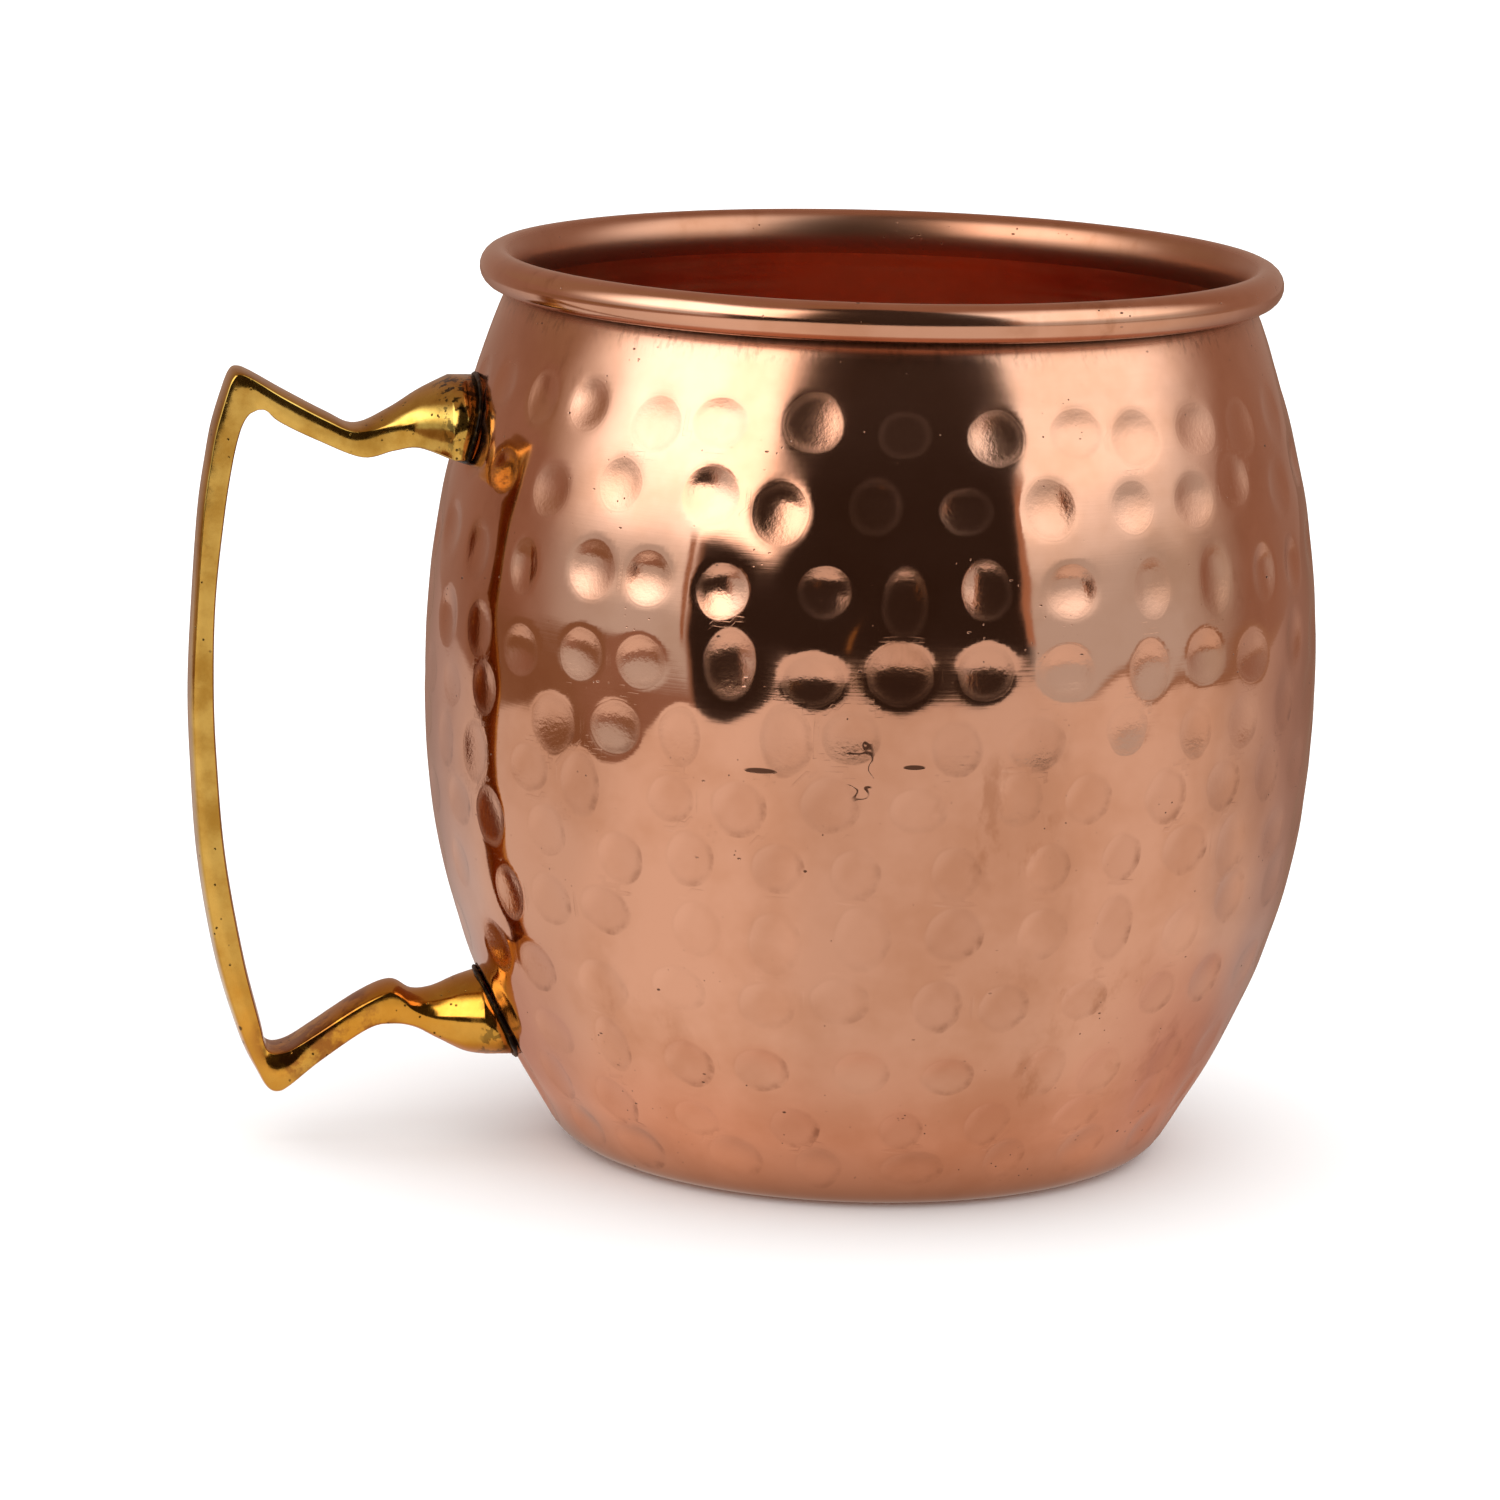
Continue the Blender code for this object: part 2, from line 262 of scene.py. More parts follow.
def unevenness(azimuths, heights):
    """Slow swell of the hammered sheet, from about -1.4 to 1.4, in patches of 11 mm."""
    patch = 11.0
    reach = 4.3
    swell = np.zeros((len(heights), len(azimuths)))
    for row, height in enumerate(heights):
        for column, azimuth in enumerate(azimuths):
            spot = Vector((math.sin(azimuth) * reach, -math.cos(azimuth) * reach, height / patch))
            swell[row, column] = noise.noise(spot) + 0.4 * noise.noise(spot * 2.3)
    return swell


def ring_points(rows, columns, offset, marks):
    """Points of one side of the sheet: a (row, column, xyz) array in millimetres."""
    azimuths = TURN * np.arange(columns) / columns
    radius, height, out, up = rows.T
    neck = BODY_HEIGHT - NECK_DROP
    faces_outwards = out > 0.5
    wall = (height > HAMMERED_FROM) & (height < neck) & faces_outwards
    push = np.zeros((len(rows), columns))
    fade = np.clip((neck - height) / HAMMER_FADE, 0, 1)
    fade *= np.clip((height - HAMMERED_FROM) / HAMMER_FADE, 0, 1)
    inward = hammered(azimuths, height[wall], marks)
    inward += SWELL_DEPTH * (1.4 + unevenness(azimuths, height[wall]))
    push[wall] = inward * fade[wall][:, None]
    reach = (radius + out * offset)[:, None] - out[:, None] * push
    level = (height + up * offset)[:, None] - up[:, None] * push
    return np.stack([reach * np.sin(azimuths), -reach * np.cos(azimuths), level], axis=2)


def copper_body():
    """The whole sheet: outside, round the rim's edge, and back down the inside."""
    marks = hammer_marks()
    points, faces, places = [], [], []
    inside_faces = []

    def skin(side, columns, offset, flip):
        """Add one side of the sheet, and give the first point of its last ring."""
        grid = ring_points(side, columns, offset, marks)
        azimuths = TURN * np.arange(columns) / columns
        found = mark_map(azimuths, side[:, 1], marks)
        found[side[:, 1] > BODY_HEIGHT - NECK_DROP] = FAR_AWAY
        places.append(found[0, :1])
        places.append(found[1:].reshape(-1, 4))
        start = len(points) + 1
        points.append(tuple(grid[0, 0]))
        points.extend(map(tuple, grid[1:].reshape(-1, 3)))
        for column in range(columns):
            face = (start - 1, start + (column + 1) % columns, start + column)
            faces.append(face[::-1] if flip else face)
        for row in range(len(grid) - 2):
            low = start + row * columns
            if flip and side[row + 1, 1] < POLISHED_DOWN_TO:
                inside_faces.append(range(len(faces), len(faces) + columns))
            for column in range(columns):
                after = (column + 1) % columns
                face = (low + column, low + after, low + columns + after, low + columns + column)
                faces.append(face[::-1] if flip else face)
        return len(points) - columns

    outer_side = side_of(sheet_line(base_rings=3, corner_steps=6, wall_rows=138,
                                    neck_steps=6, roll_steps=8))
    inner_side = side_of(sheet_line(base_rings=3, corner_steps=3, wall_rows=50,
                                    neck_steps=6, roll_steps=18))
    outer_edge = skin(outer_side, OUTER_COLUMNS, SHEET / 2, flip=False)
    inner_first = len(faces)
    inner_edge = skin(inner_side, INNER_COLUMNS, -SHEET / 2, flip=True)
    inside_faces.append(range(inner_first, inner_first + INNER_COLUMNS))
    for column in range(INNER_COLUMNS):
        after = (column + 1) % INNER_COLUMNS
        faces.append((inner_edge + column, outer_edge + 2 * column, outer_edge + 2 * column + 1,
                      outer_edge + (2 * column + 2) % OUTER_COLUMNS, inner_edge + after)[::-1])
    piece = shown("hammered_copper_body", points, faces, "mug_body")
    found = np.concatenate(places)
    place = piece.data.attributes.new("mark_place", "FLOAT_VECTOR", "POINT")
    place.data.foreach_set("vector", found[:, :3].ravel())
    distance = piece.data.attributes.new("mark_distance", "FLOAT", "POINT")
    distance.data.foreach_set("value", found[:, 3])
    piece.data.materials.append(polished_copper())
    piece.data.materials.append(satin_copper())
    for run in inside_faces:
        for index in run:
            piece.data.polygons[index].material_index = 1
    return piece


def shown(name, points, faces, node):
    """Make a smooth piece that stands for a node of the frame."""
    mesh = bpy.data.meshes.new(name)
    mesh.from_pydata([tuple(c * MM for c in point) for point in points], [], faces)
    mesh.validate()
    mesh.shade_smooth()
    piece = bpy.data.objects.new(name, mesh)
    bpy.context.scene.collection.objects.link(piece)
    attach(piece, "root")
    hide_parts(node)
    return piece


def handle_sections():
    """Sections of the handle from the upper foot round to the lower foot.

    Each is (outer point, inner point, width, outer crown, inner crown). A point is
    (distance from the mug's axis, height), and the inner side is the finger side.
    """
    top, low = BODY_HEIGHT - UPPER_FOOT_DROP, LOWER_FOOT_RISE
    top_wall, low_wall = wall_radius(top), wall_radius(low)
    grip = BELLY_RADIUS + FINGER_GAP + GRIP_THICKNESS
    top_half, low_half = UPPER_FOOT_HEIGHT / 2, LOWER_FOOT_HEIGHT / 2

    def upper(share, rise):
        return Vector((top_wall + (grip - top_wall) * share, top + rise))

    def lower(share, rise):
        return Vector((low_wall + (grip - low_wall) * share, low + rise))

    def down(share, setback):
        return Vector((grip - setback, top + (low - top) * share))

    arm = (GRIP_WIDTH, EDGE_CROWN, INNER_CROWN)
    return [
        (upper(0.055, top_half), upper(0.055, -top_half),
         UPPER_FOOT_WIDTH, FOOT_CROWN, EDGE_CROWN),
        (upper(0.163, 2.7), upper(0.172, -3.2), 9.5, 3.2, 0.5),
        # dip of the upper arm
        (upper(0.275, 0.65), upper(0.262, -3.6), 7.2, 1.8, 0.4),
        (upper(0.398, -1.0), upper(0.377, -4.3), *arm),
        (upper(0.50, 0.15), upper(0.545, -2.5), *arm),
        (upper(0.65, 2.35), upper(0.68, -0.65), *arm),
        # upper corner
        (upper(0.782, 4.4), upper(0.725, 0.5), *arm),
        (upper(0.832, 4.9), upper(0.75, 0.65), *arm),
        (upper(0.860, 4.45), upper(0.767, 0.5), *arm),
        (upper(0.886, 2.6), upper(0.792, 0.0), *arm),
        (down(0.015, 2.2), down(0.024, 5.2), *arm),
        # grip
        (down(0.068, 1.6), down(0.076, 4.45), *arm),
        (down(0.158, 0.85), down(0.163, 3.65), *arm),
        (down(0.305, 0.3), down(0.305, 0.1 + GRIP_THICKNESS), *arm),
        (down(0.449, 0.0), down(0.449, GRIP_THICKNESS), *arm),
        (down(0.574, 0.3), down(0.574, 0.4 + GRIP_THICKNESS), *arm),
        (down(0.738, 1.15), down(0.733, 1.4 + GRIP_THICKNESS), *arm),
        (down(0.905, 3.1), down(0.90, 6.1), *arm),
        # lower corner
        (lower(0.825, -2.3), lower(0.754, -1.1), *arm),
        (lower(0.766, -6.2), lower(0.744, -2.8), *arm),
        (lower(0.733, -7.9), lower(0.726, -3.5), *arm),
        (lower(0.699, -8.3), lower(0.698, -3.6), *arm),
        (lower(0.66, -7.6), lower(0.655, -3.1), *arm),
        # crest of the lower arm
        (lower(0.561, -5.0), lower(0.59, -1.5), GRIP_WIDTH, 0.6, 0.6),
        (lower(0.41, -1.6), lower(0.44, 1.9), GRIP_WIDTH, 0.6, 0.9),
        (lower(0.33, -1.05), lower(0.335, 3.35), GRIP_WIDTH, 0.6, 1.1),
        (lower(0.26, -1.4), lower(0.267, 2.4), 6.8, 0.7, 1.7),
        (lower(0.19, -2.55), lower(0.20, 2.6), 8.0, 1.0, 2.8),
        # lower foot
        (lower(0.10, -4.0), lower(0.12, 3.7), 10.6, 2.0, 4.2),
        (lower(0.03, -low_half), lower(0.05, low_half),
         LOWER_FOOT_WIDTH, LOWER_FOOT_BELLY, FOOT_CROWN),
    ]


def smooth_between(values, steps):
    """Catmull-Rom curve through a list of vectors, with extra points in each span."""
    line = []
    last = len(values) - 1
    for index in range(last):
        before, start = values[max(index - 1, 0)], values[index]
        end, after = values[index + 1], values[min(index + 2, last)]
        for step in range(steps):
            t = step / steps
            line.append(0.5 * (2 * start + (end - before) * t
                               + (2 * before - 5 * start + 4 * end - after) * t * t
                               + (3 * start - before - 3 * end + after) * t ** 3))
    line.append(values[last])
    return line


def section_ring(outer, inner, width, outer_crown, inner_crown):
    """Ring of 3-D points: flat flanks, and a low elliptical crown on each side."""
    crown_steps = 18
    out = (outer - inner).normalized()
    ring = []
    for edge, crown, sign in ((outer, outer_crown, 1), (inner, inner_crown, -1)):
        base = edge - out * crown * sign
        for step in range(crown_steps + 1):
            angle = math.pi * step / crown_steps
            across = math.cos(angle) * width / 2 * sign
            spot = base + out * crown * math.sin(angle) * sign
            ring.append(Vector((-spot.x, -across, spot.y)))
    return ring


def on_wall(point, sink):
    """A point moved along X onto the wall, or a little way into it."""
    reach = wall_radius(point.z) - sink
    return Vector((-math.sqrt(reach ** 2 - point.y ** 2), point.y, point.z))


def brass_handle():
    """The handle, its feet run on to the wall."""
    sections = handle_sections()
    steps = 7
    # the feet end a little inside the sheet, so that no gap shows
    sink = 0.35
    outers = smooth_between([section[0] for section in sections], steps)
    inners = smooth_between([section[1] for section in sections], steps)
    sizes = smooth_between([Vector(section[2:]) for section in sections], steps)
    rings = [section_ring(outer, inner, *size)
             for outer, inner, size in zip(outers, inners, sizes)]
    rings.insert(0, [on_wall(point, sink) for point in rings[0]])
    rings.append([on_wall(point, sink) for point in rings[-1]])
    points = [tuple(point) for ring in rings for point in ring]
    around = len(rings[0])
    faces = [tuple(reversed(range(around)))]
    for row in range(len(rings) - 1):
        for column in range(around):
            side = (column + 1) % around
            faces.append((row * around + column, row * around + side,
                          (row + 1) * around + side, (row + 1) * around + column))
    last = (len(rings) - 1) * around
    faces.append(tuple(last + column for column in range(around)))
    return shown("cast_brass_handle", points, faces, "handle")


def braze_bead(name, section, node, thickness, slump, seed):
    """Uneven bead of braze round a foot, where it meets the wall.

    The thickness is the bead's half width, and slump is how much it gathers below.
    """
    sides = 10
    flatness = 0.75
    outward_shift = 0.15
    unevenness_share, unevenness_pitch = 0.45, 0.9
    slump_height, slump_start = 4.0, 0.4
    ring = section_ring(*section)
    middle = sum(ring, Vector()) / len(ring)
    points = []
    for corner in ring:
        seat = on_wall(corner, 0.0)
        normal = Vector((seat.x, seat.y, -wall_slope(seat.z) * wall_radius(seat.z))).normalized()
        away = seat - on_wall(middle, 0.0)
        away = (away - normal * away.dot(normal)).normalized()
        spot = Vector((seat.y, seat.z, seed)) * unevenness_pitch
        swell = 1 + unevenness_share * noise.noise(spot)
        swell += slump * max(0.0, (middle.z - seat.z) / slump_height - slump_start)
        for side in range(sides):
            angle = TURN * side / sides
            lift = math.sin(angle) * thickness * flatness
            spread = (math.cos(angle) + outward_shift) * thickness
            points.append(tuple(seat + (normal * lift + away * spread) * swell))
    count = len(ring)
    faces = []
    for row in range(count):
        for side in range(sides):
            following = (side + 1) % sides
            ahead = (row + 1) % count
            faces.append((row * sides + side, row * sides + following,
                          ahead * sides + following, ahead * sides + side))
    return shown(name, points, faces, node)


def linear(colour):
    """An sRGB hex colour as linear RGBA."""
    parts = [int(colour[start:start + 2], 16) / 255 for start in (1, 3, 5)]
    return (*(part / 12.92 if part <= 0.04045 else ((part + 0.055) / 1.055) ** 2.4
              for part in parts), 1.0)


def add(tree, kind, inputs=None, **settings):
    """Add a node with its settings, and link or set its inputs."""
    node = tree.nodes.new(kind)
    for key, value in settings.items():
        setattr(node, key, value)
    for socket, value in (inputs or {}).items():
        if isinstance(value, bpy.types.NodeSocket):
            tree.links.new(value, node.inputs[socket])
        else:
            node.inputs[socket].default_value = value
    return node


def started(name):
    """A new metal material, its tree and its shader."""
    material = bpy.data.materials.new(name)
    material.use_nodes = True
    tree = material.node_tree
    shader = tree.nodes["Principled BSDF"]
    shader.inputs["Metallic"].default_value = 1.0
    return material, tree, shader


def share_of(tree, value, start, end, low=0.0, high=1.0):
    """A value's smooth way from start to end, as a number from low to high."""
    return add(tree, "ShaderNodeMapRange", {"Value": value, "From Min": start, "From Max": end,
                                            "To Min": low, "To Max": high},
               interpolation_type="SMOOTHSTEP").outputs[0]


def reckon(tree, operation, *values):
    """A math node's result."""
    return add(tree, "ShaderNodeMath", dict(enumerate(values)), operation=operation).outputs[0]


def mixed(tree, share, first, second):
    """One colour laid over another by a share."""
    return add(tree, "ShaderNodeMix", {"Factor": share, "A": first, "B": second},
               data_type="RGBA").outputs["Result"]


def cloud(tree, place, millimetres, detail=3.0, stretch=(1.0, 1.0, 1.0)):
    """Noise whose patches have about the given size, drawn out by a stretch."""
    scale = tuple(1 / (millimetres * MM * part) for part in stretch)
    spot = add(tree, "ShaderNodeMapping", {"Vector": place, "Scale": scale})
    return add(tree, "ShaderNodeTexNoise", {"Vector": spot.outputs[0], "Scale": 1.0,
                                            "Detail": detail, "Roughness": 0.6}).outputs[0]


def specks(tree, place, apart, radius, kept, stretch=(1.0, 1.0, 1.0)):
    """Specks: how far apart and how large they are in mm, and the share kept."""
    scale = tuple(1 / (apart * MM * part) for part in stretch)
    spot = add(tree, "ShaderNodeMapping", {"Vector": place, "Scale": scale}).outputs[0]
    cells = add(tree, "ShaderNodeTexVoronoi", {"Vector": spot, "Scale": 1.0})
    dot = share_of(tree, cells.outputs["Distance"], radius / apart, 0.5 * radius / apart)
    chance = add(tree, "ShaderNodeSeparateColor", {"Color": cells.outputs["Color"]}).outputs[0]
    return reckon(tree, "MULTIPLY", dot, reckon(tree, "LESS_THAN", chance, kept))


def near_spot(tree, place, spot, reach):
    """One inside a soft egg-shaped spot, given by its middle and reach in mm."""
    away = add(tree, "ShaderNodeVectorMath", {0: place, 1: tuple(part * MM for part in spot)},
               operation="SUBTRACT").outputs[0]
    away = add(tree, "ShaderNodeVectorMath", {0: away, 1: tuple(part * MM for part in reach)},
               operation="DIVIDE").outputs[0]
    length = add(tree, "ShaderNodeVectorMath", {0: away}, operation="LENGTH").outputs["Value"]
    return share_of(tree, length, 1.0, 0.75)


def bumped(tree, height, depth, under=None):
    """A bump of a height map, its depth in millimetres, over another bump."""
    inputs = {"Height": height, "Strength": 1.0, "Distance": depth * MM}
    if under is not None:
        inputs["Normal"] = under
    return add(tree, "ShaderNodeBump", inputs).outputs[0]


def polished_copper():
    """Hammered copper sheet, buffed to a mirror round the mug.

    Buffing leaves fine scratches round the axis and a satin band at the neck. The hammer
    leaves grainy marks with crisp edges, darkened on their lower right by dirt and painted
    shade, and a painted highlight lies on their upper left. The sheet has thin brown
    tarnish in patches, small dark pits, and black polish residue under the rim's roll.
    """
    material, tree, shader = started("hammered and buffed copper")
    place = add(tree, "ShaderNodeTexCoord").outputs["Object"]
    height = add(tree, "ShaderNodeSeparateXYZ", {"Vector": place}).outputs["Z"]
    level = add(tree, "ShaderNodeVectorMath", {0: place, 1: (1.0, 1.0, 0.0)},
                operation="MULTIPLY").outputs[0]
    radius = add(tree, "ShaderNodeVectorMath", {0: level}, operation="LENGTH").outputs["Value"]
    # the flare inside the mouth, which the wheel only brushes
    flare = reckon(tree, "MULTIPLY", share_of(tree, radius, 0.0401, 0.0391),
                   share_of(tree, height, 0.0875, 0.0885))
    # the outside below the roll's edge
    outside = reckon(tree, "MULTIPLY", share_of(tree, height, 0.0912, 0.0907),
                     share_of(tree, radius, 0.0388, 0.0393))

    # place within a hammer mark, one at its edge
    mark = add(tree, "ShaderNodeAttribute", attribute_name="mark_place").outputs["Vector"]
    far = add(tree, "ShaderNodeAttribute", attribute_name="mark_distance").outputs["Fac"]
    flat = add(tree, "ShaderNodeVectorMath", {0: mark, 1: (1.0, 1.0, 0.0)},
               operation="MULTIPLY").outputs[0]
    out = add(tree, "ShaderNodeVectorMath", {0: flat}, operation="LENGTH").outputs["Value"]
    # the outline wanders a little
    wander = reckon(tree, "SUBTRACT", cloud(tree, place, 3.2, 1.0), 0.5)
    out = reckon(tree, "MULTIPLY_ADD", wander, 0.22, out)
    tone = add(tree, "ShaderNodeSeparateXYZ", {"Vector": mark}).outputs["Z"]
    within = share_of(tree, far, 1.32, 1.16)
    bed = reckon(tree, "MULTIPLY", within, share_of(tree, out, 1.0, 0.86))
    edge = reckon(tree, "MULTIPLY", share_of(tree, out, 0.6, 0.95),
                  share_of(tree, out, 1.06, 0.98))
    edge = reckon(tree, "MULTIPLY", edge, within)

    # scratches 0.25 mm apart and 15 mm long, drawn coarser than the real ones to show
    scratches = cloud(tree, place, 0.25, 3.0, (60.0, 60.0, 1.0))
    # grain of the hammer's face, 0.45 mm from bump to bump
    grain = cloud(tree, place, 0.45, 2.0)

    # thin tarnish in patches of 14 mm
    tarnish = share_of(tree, cloud(tree, place, 14.0, 4.0), 0.38, 0.7)
    colour = mixed(tree, tarnish, linear("#CC9477"), linear("#C08667"))
    # the marks below the belly are the dirtier ones
    low = share_of(tree, height, 0.058, 0.046, 0.2, 1.0)
    worn = reckon(tree, "MULTIPLY", bed, share_of(tree, tone, 0.1, 1.0, 0.0, 0.2))
    colour = mixed(tree, reckon(tree, "MULTIPLY", worn, low), colour, linear("#A9735A"))
    # dirt along the marks' edges, with painted shade: the edges are darker on the lower right,
    # and a painted highlight lies opposite, on the upper left of each bed
    lean = add(tree, "ShaderNodeVectorMath", {0: mark, 1: (0.75, -0.5, 0.0)},
               operation="DOT_PRODUCT").outputs["Value"]
    # painted shade: the lower right of each edge is its darker side
    painted_shade_side = share_of(tree, lean, -0.1, 0.85, 0.1, 1.0)
    broken = share_of(tree, cloud(tree, place, 2.2, 4.0), 0.4, 0.72, 0.05, 0.75)
    ring = reckon(tree, "MULTIPLY", edge, broken)
    ring = reckon(tree, "MULTIPLY", reckon(tree, "MULTIPLY", ring, painted_shade_side),
                  share_of(tree, tone, 0.0, 1.0, 0.25, 0.9))
    colour = mixed(tree, reckon(tree, "MULTIPLY", ring, low), colour, linear("#75452F"))
    # painted highlight: each mark's bed is lighter on its upper left
    painted_highlight = reckon(tree, "MULTIPLY", bed, share_of(tree, lean, -0.25, -0.85, 0.0, 0.45))
    colour = mixed(tree, reckon(tree, "MULTIPLY", painted_highlight, low), colour, linear("#D9A184"))
    # brown stains of 3 mm, here and there
    stain = reckon(tree, "MULTIPLY", share_of(tree, cloud(tree, place, 30.0, 2.0), 0.56, 0.68),
                   share_of(tree, cloud(tree, place, 3.0, 4.0, (1.0, 1.0, 1.8)), 0.5, 0.68))
    colour = mixed(tree, reckon(tree, "MULTIPLY", stain, 0.35), colour, linear("#8F5028"))
    # pits: a few of 0.17 mm, and crowds of finer ones and of short dashes in patches
    crowd = share_of(tree, cloud(tree, place, 6.0, 2.0), 0.54, 0.66)
    fine_pits = reckon(tree, "MAXIMUM", specks(tree, place, 0.7, 0.12, 0.3),
                       specks(tree, place, 0.9, 0.12, 0.25, (2.2, 2.2, 1.0)))
    pits = reckon(tree, "MAXIMUM", reckon(tree, "MULTIPLY", fine_pits, crowd),
                  specks(tree, place, 3.0, 0.17, 0.2, (1.5, 1.5, 1.0)))
    # scuffs: a tangle of fine lines, and two short dashes
    middle = reckon(tree, "SUBTRACT", cloud(tree, place, 2.6, 1.0), 0.5)
    lines = share_of(tree, reckon(tree, "ABSOLUTE", middle), 0.02, 0.008)
    tangle = reckon(tree, "MULTIPLY", lines,
                    near_spot(tree, place, (-8.4, -46.5, 49.6), (1.5, 9.0, 4.2)))
    pits = reckon(tree, "MAXIMUM", pits, tangle)
    for spot, reach in (((-18.0, -43.7, 48.6), (1.7, 9.0, 0.32)),
                        ((-3.1, -47.2, 49.6), (1.2, 9.0, 0.26))):
        pits = reckon(tree, "MAXIMUM", pits, near_spot(tree, place, spot, reach))
    colour = mixed(tree, reckon(tree, "MULTIPLY", pits, 0.85), colour, linear("#3A1D12"))
    # black residue in short streaks under the roll, only in places
    streaks = share_of(tree, cloud(tree, place, 0.6, 3.0, (1.0, 1.0, 7.0)), 0.46, 0.66)
    in_places = share_of(tree, cloud(tree, place, 11.0, 2.0), 0.42, 0.6, 0.15, 1.0)
    residue = reckon(tree, "MULTIPLY", share_of(tree, height, 0.0876, 0.0903), streaks)
    residue = reckon(tree, "MULTIPLY", residue, in_places)
    residue = reckon(tree, "MULTIPLY", residue, outside)
    colour = mixed(tree, reckon(tree, "MULTIPLY", residue, 0.36), colour, linear("#2A1810"))
    colour = mixed(tree, reckon(tree, "MULTIPLY", flare, 0.45), colour, linear("#9A6448"))
    tree.links.new(colour, shader.inputs["Base Color"])

    # mirror on the wall, satin at the neck, and duller in beds, at edges and in pits
    gloss = share_of(tree, height, 0.074, 0.088, 0.045, 0.13)
    gloss = reckon(tree, "MULTIPLY_ADD", bed, 0.045, gloss)
    gloss = reckon(tree, "MULTIPLY_ADD", edge, 0.09, gloss)
    gloss = reckon(tree, "MULTIPLY_ADD", scratches, 0.05, gloss)
    gloss = reckon(tree, "MULTIPLY_ADD", pits, 0.3, gloss)
    gloss = reckon(tree, "MULTIPLY_ADD", flare, 0.16, gloss)
    tree.links.new(gloss, shader.inputs["Roughness"])

    normal = bumped(tree, scratches, 0.0016)
    normal = bumped(tree, cloud(tree, place, 2.2, 2.0), 0.004, normal)
    rough_bed = reckon(tree, "MULTIPLY", reckon(tree, "SUBTRACT", grain, 0.5), bed)
    normal = bumped(tree, rough_bed, 0.012, normal)
    # the burr that a blow raises round its mark
    lip = share_of(tree, reckon(tree, "ABSOLUTE", reckon(tree, "SUBTRACT", out, 0.99)), 0.08, 0.0)
    normal = bumped(tree, reckon(tree, "MULTIPLY", lip, within), 0.003, normal)
    normal = bumped(tree, pits, -0.02, normal)
    tree.links.new(normal, shader.inputs["Normal"])
    return material


def satin_copper():
    """Inside of the copper: only pickled and brushed, so dull, even and deep red."""
    material, tree, shader = started("pickled copper")
    place = add(tree, "ShaderNodeTexCoord").outputs["Object"]
    # thin brown film in patches of 18 mm
    film = share_of(tree, cloud(tree, place, 18.0, 4.0), 0.35, 0.7)
    colour = mixed(tree, film, linear("#E09168"), linear("#D28057"))
    tree.links.new(colour, shader.inputs["Base Color"])
    # brush lines round the inside, 0.4 mm apart
    lines = cloud(tree, place, 0.4, 3.0, (50.0, 50.0, 1.0))
    tree.links.new(share_of(tree, lines, 0.3, 0.7, 0.3, 0.42), shader.inputs["Roughness"])
    tree.links.new(bumped(tree, lines, 0.004), shader.inputs["Normal"])
    return material


def cast_brass():
    """Cast yellow brass, filed and polished by hand.

    Casting leaves small dark pits, and brazing leaves brown and orange heat stains.
    """
    material, tree, shader = started("polished cast brass")
    place = add(tree, "ShaderNodeTexCoord").outputs["Object"]
    height = add(tree, "ShaderNodeSeparateXYZ", {"Vector": place}).outputs["Z"]
    colour = mixed(tree, share_of(tree, cloud(tree, place, 5.0, 5.0), 0.35, 0.7),
                   linear("#CDA250"), linear("#AC7C30"))
    # orange heat tint towards the lower corner and along the lower arm
    heat = share_of(tree, cloud(tree, place, 9.0, 3.0), 0.3, 0.62, 0.35, 1.0)
    warm = reckon(tree, "MULTIPLY", heat, share_of(tree, height, 0.034, 0.014))
    colour = mixed(tree, reckon(tree, "MULTIPLY", warm, 0.75), colour, linear("#CC882C"))
    # red-brown scorch on the lower arm
    lower_arm = near_spot(tree, place, (-57.5, 0.0, 11.5), (10.0, 8.0, 6.0))
    scorch = reckon(tree, "MULTIPLY", lower_arm,
                    share_of(tree, cloud(tree, place, 2.4, 5.0), 0.4, 0.58))
    colour = mixed(tree, reckon(tree, "MULTIPLY", scorch, 0.7), colour, linear("#7C3C1E"))
    # black scale spattered over the feet's edges
    upper_foot = near_spot(tree, place, (-44.6, 0.0, 77.5), (3.3, 10.0, 8.0))
    lower_foot = near_spot(tree, place, (-40.0, 0.0, 13.0), (2.4, 10.0, 8.0))
    scale = reckon(tree, "MAXIMUM", upper_foot, reckon(tree, "MULTIPLY", lower_foot, 0.6))
    scale = reckon(tree, "MULTIPLY", scale,
                   share_of(tree, cloud(tree, place, 0.9, 4.0), 0.51, 0.57))
    colour = mixed(tree, reckon(tree, "MULTIPLY", scale, 0.9), colour, linear("#20160D"))
    # casting pits: 0.25 mm in crowds on the grip and the feet, and odd ones of 0.5 mm
    crowd = share_of(tree, cloud(tree, place, 8.0, 2.0), 0.47, 0.6)
    pits = reckon(tree, "MULTIPLY", specks(tree, place, 0.8, 0.17, 0.45), crowd)
    pits = reckon(tree, "MAXIMUM", pits, specks(tree, place, 4.2, 0.36, 0.2))
    colour = mixed(tree, reckon(tree, "MULTIPLY", pits, 0.85), colour, linear("#2E1D0C"))
    tree.links.new(colour, shader.inputs["Base Color"])
    # orange-peel skin, 1.1 mm from bump to bump
    skin = cloud(tree, place, 1.1, 3.0)
    gloss = share_of(tree, skin, 0.3, 0.7, 0.09, 0.17)
    tree.links.new(reckon(tree, "MULTIPLY_ADD", pits, 0.3, gloss), shader.inputs["Roughness"])
    normal = bumped(tree, skin, 0.008)
    normal = bumped(tree, cloud(tree, place, 6.0, 2.0), 0.05, normal)
    tree.links.new(bumped(tree, pits, -0.03, normal), shader.inputs["Normal"])
    return material


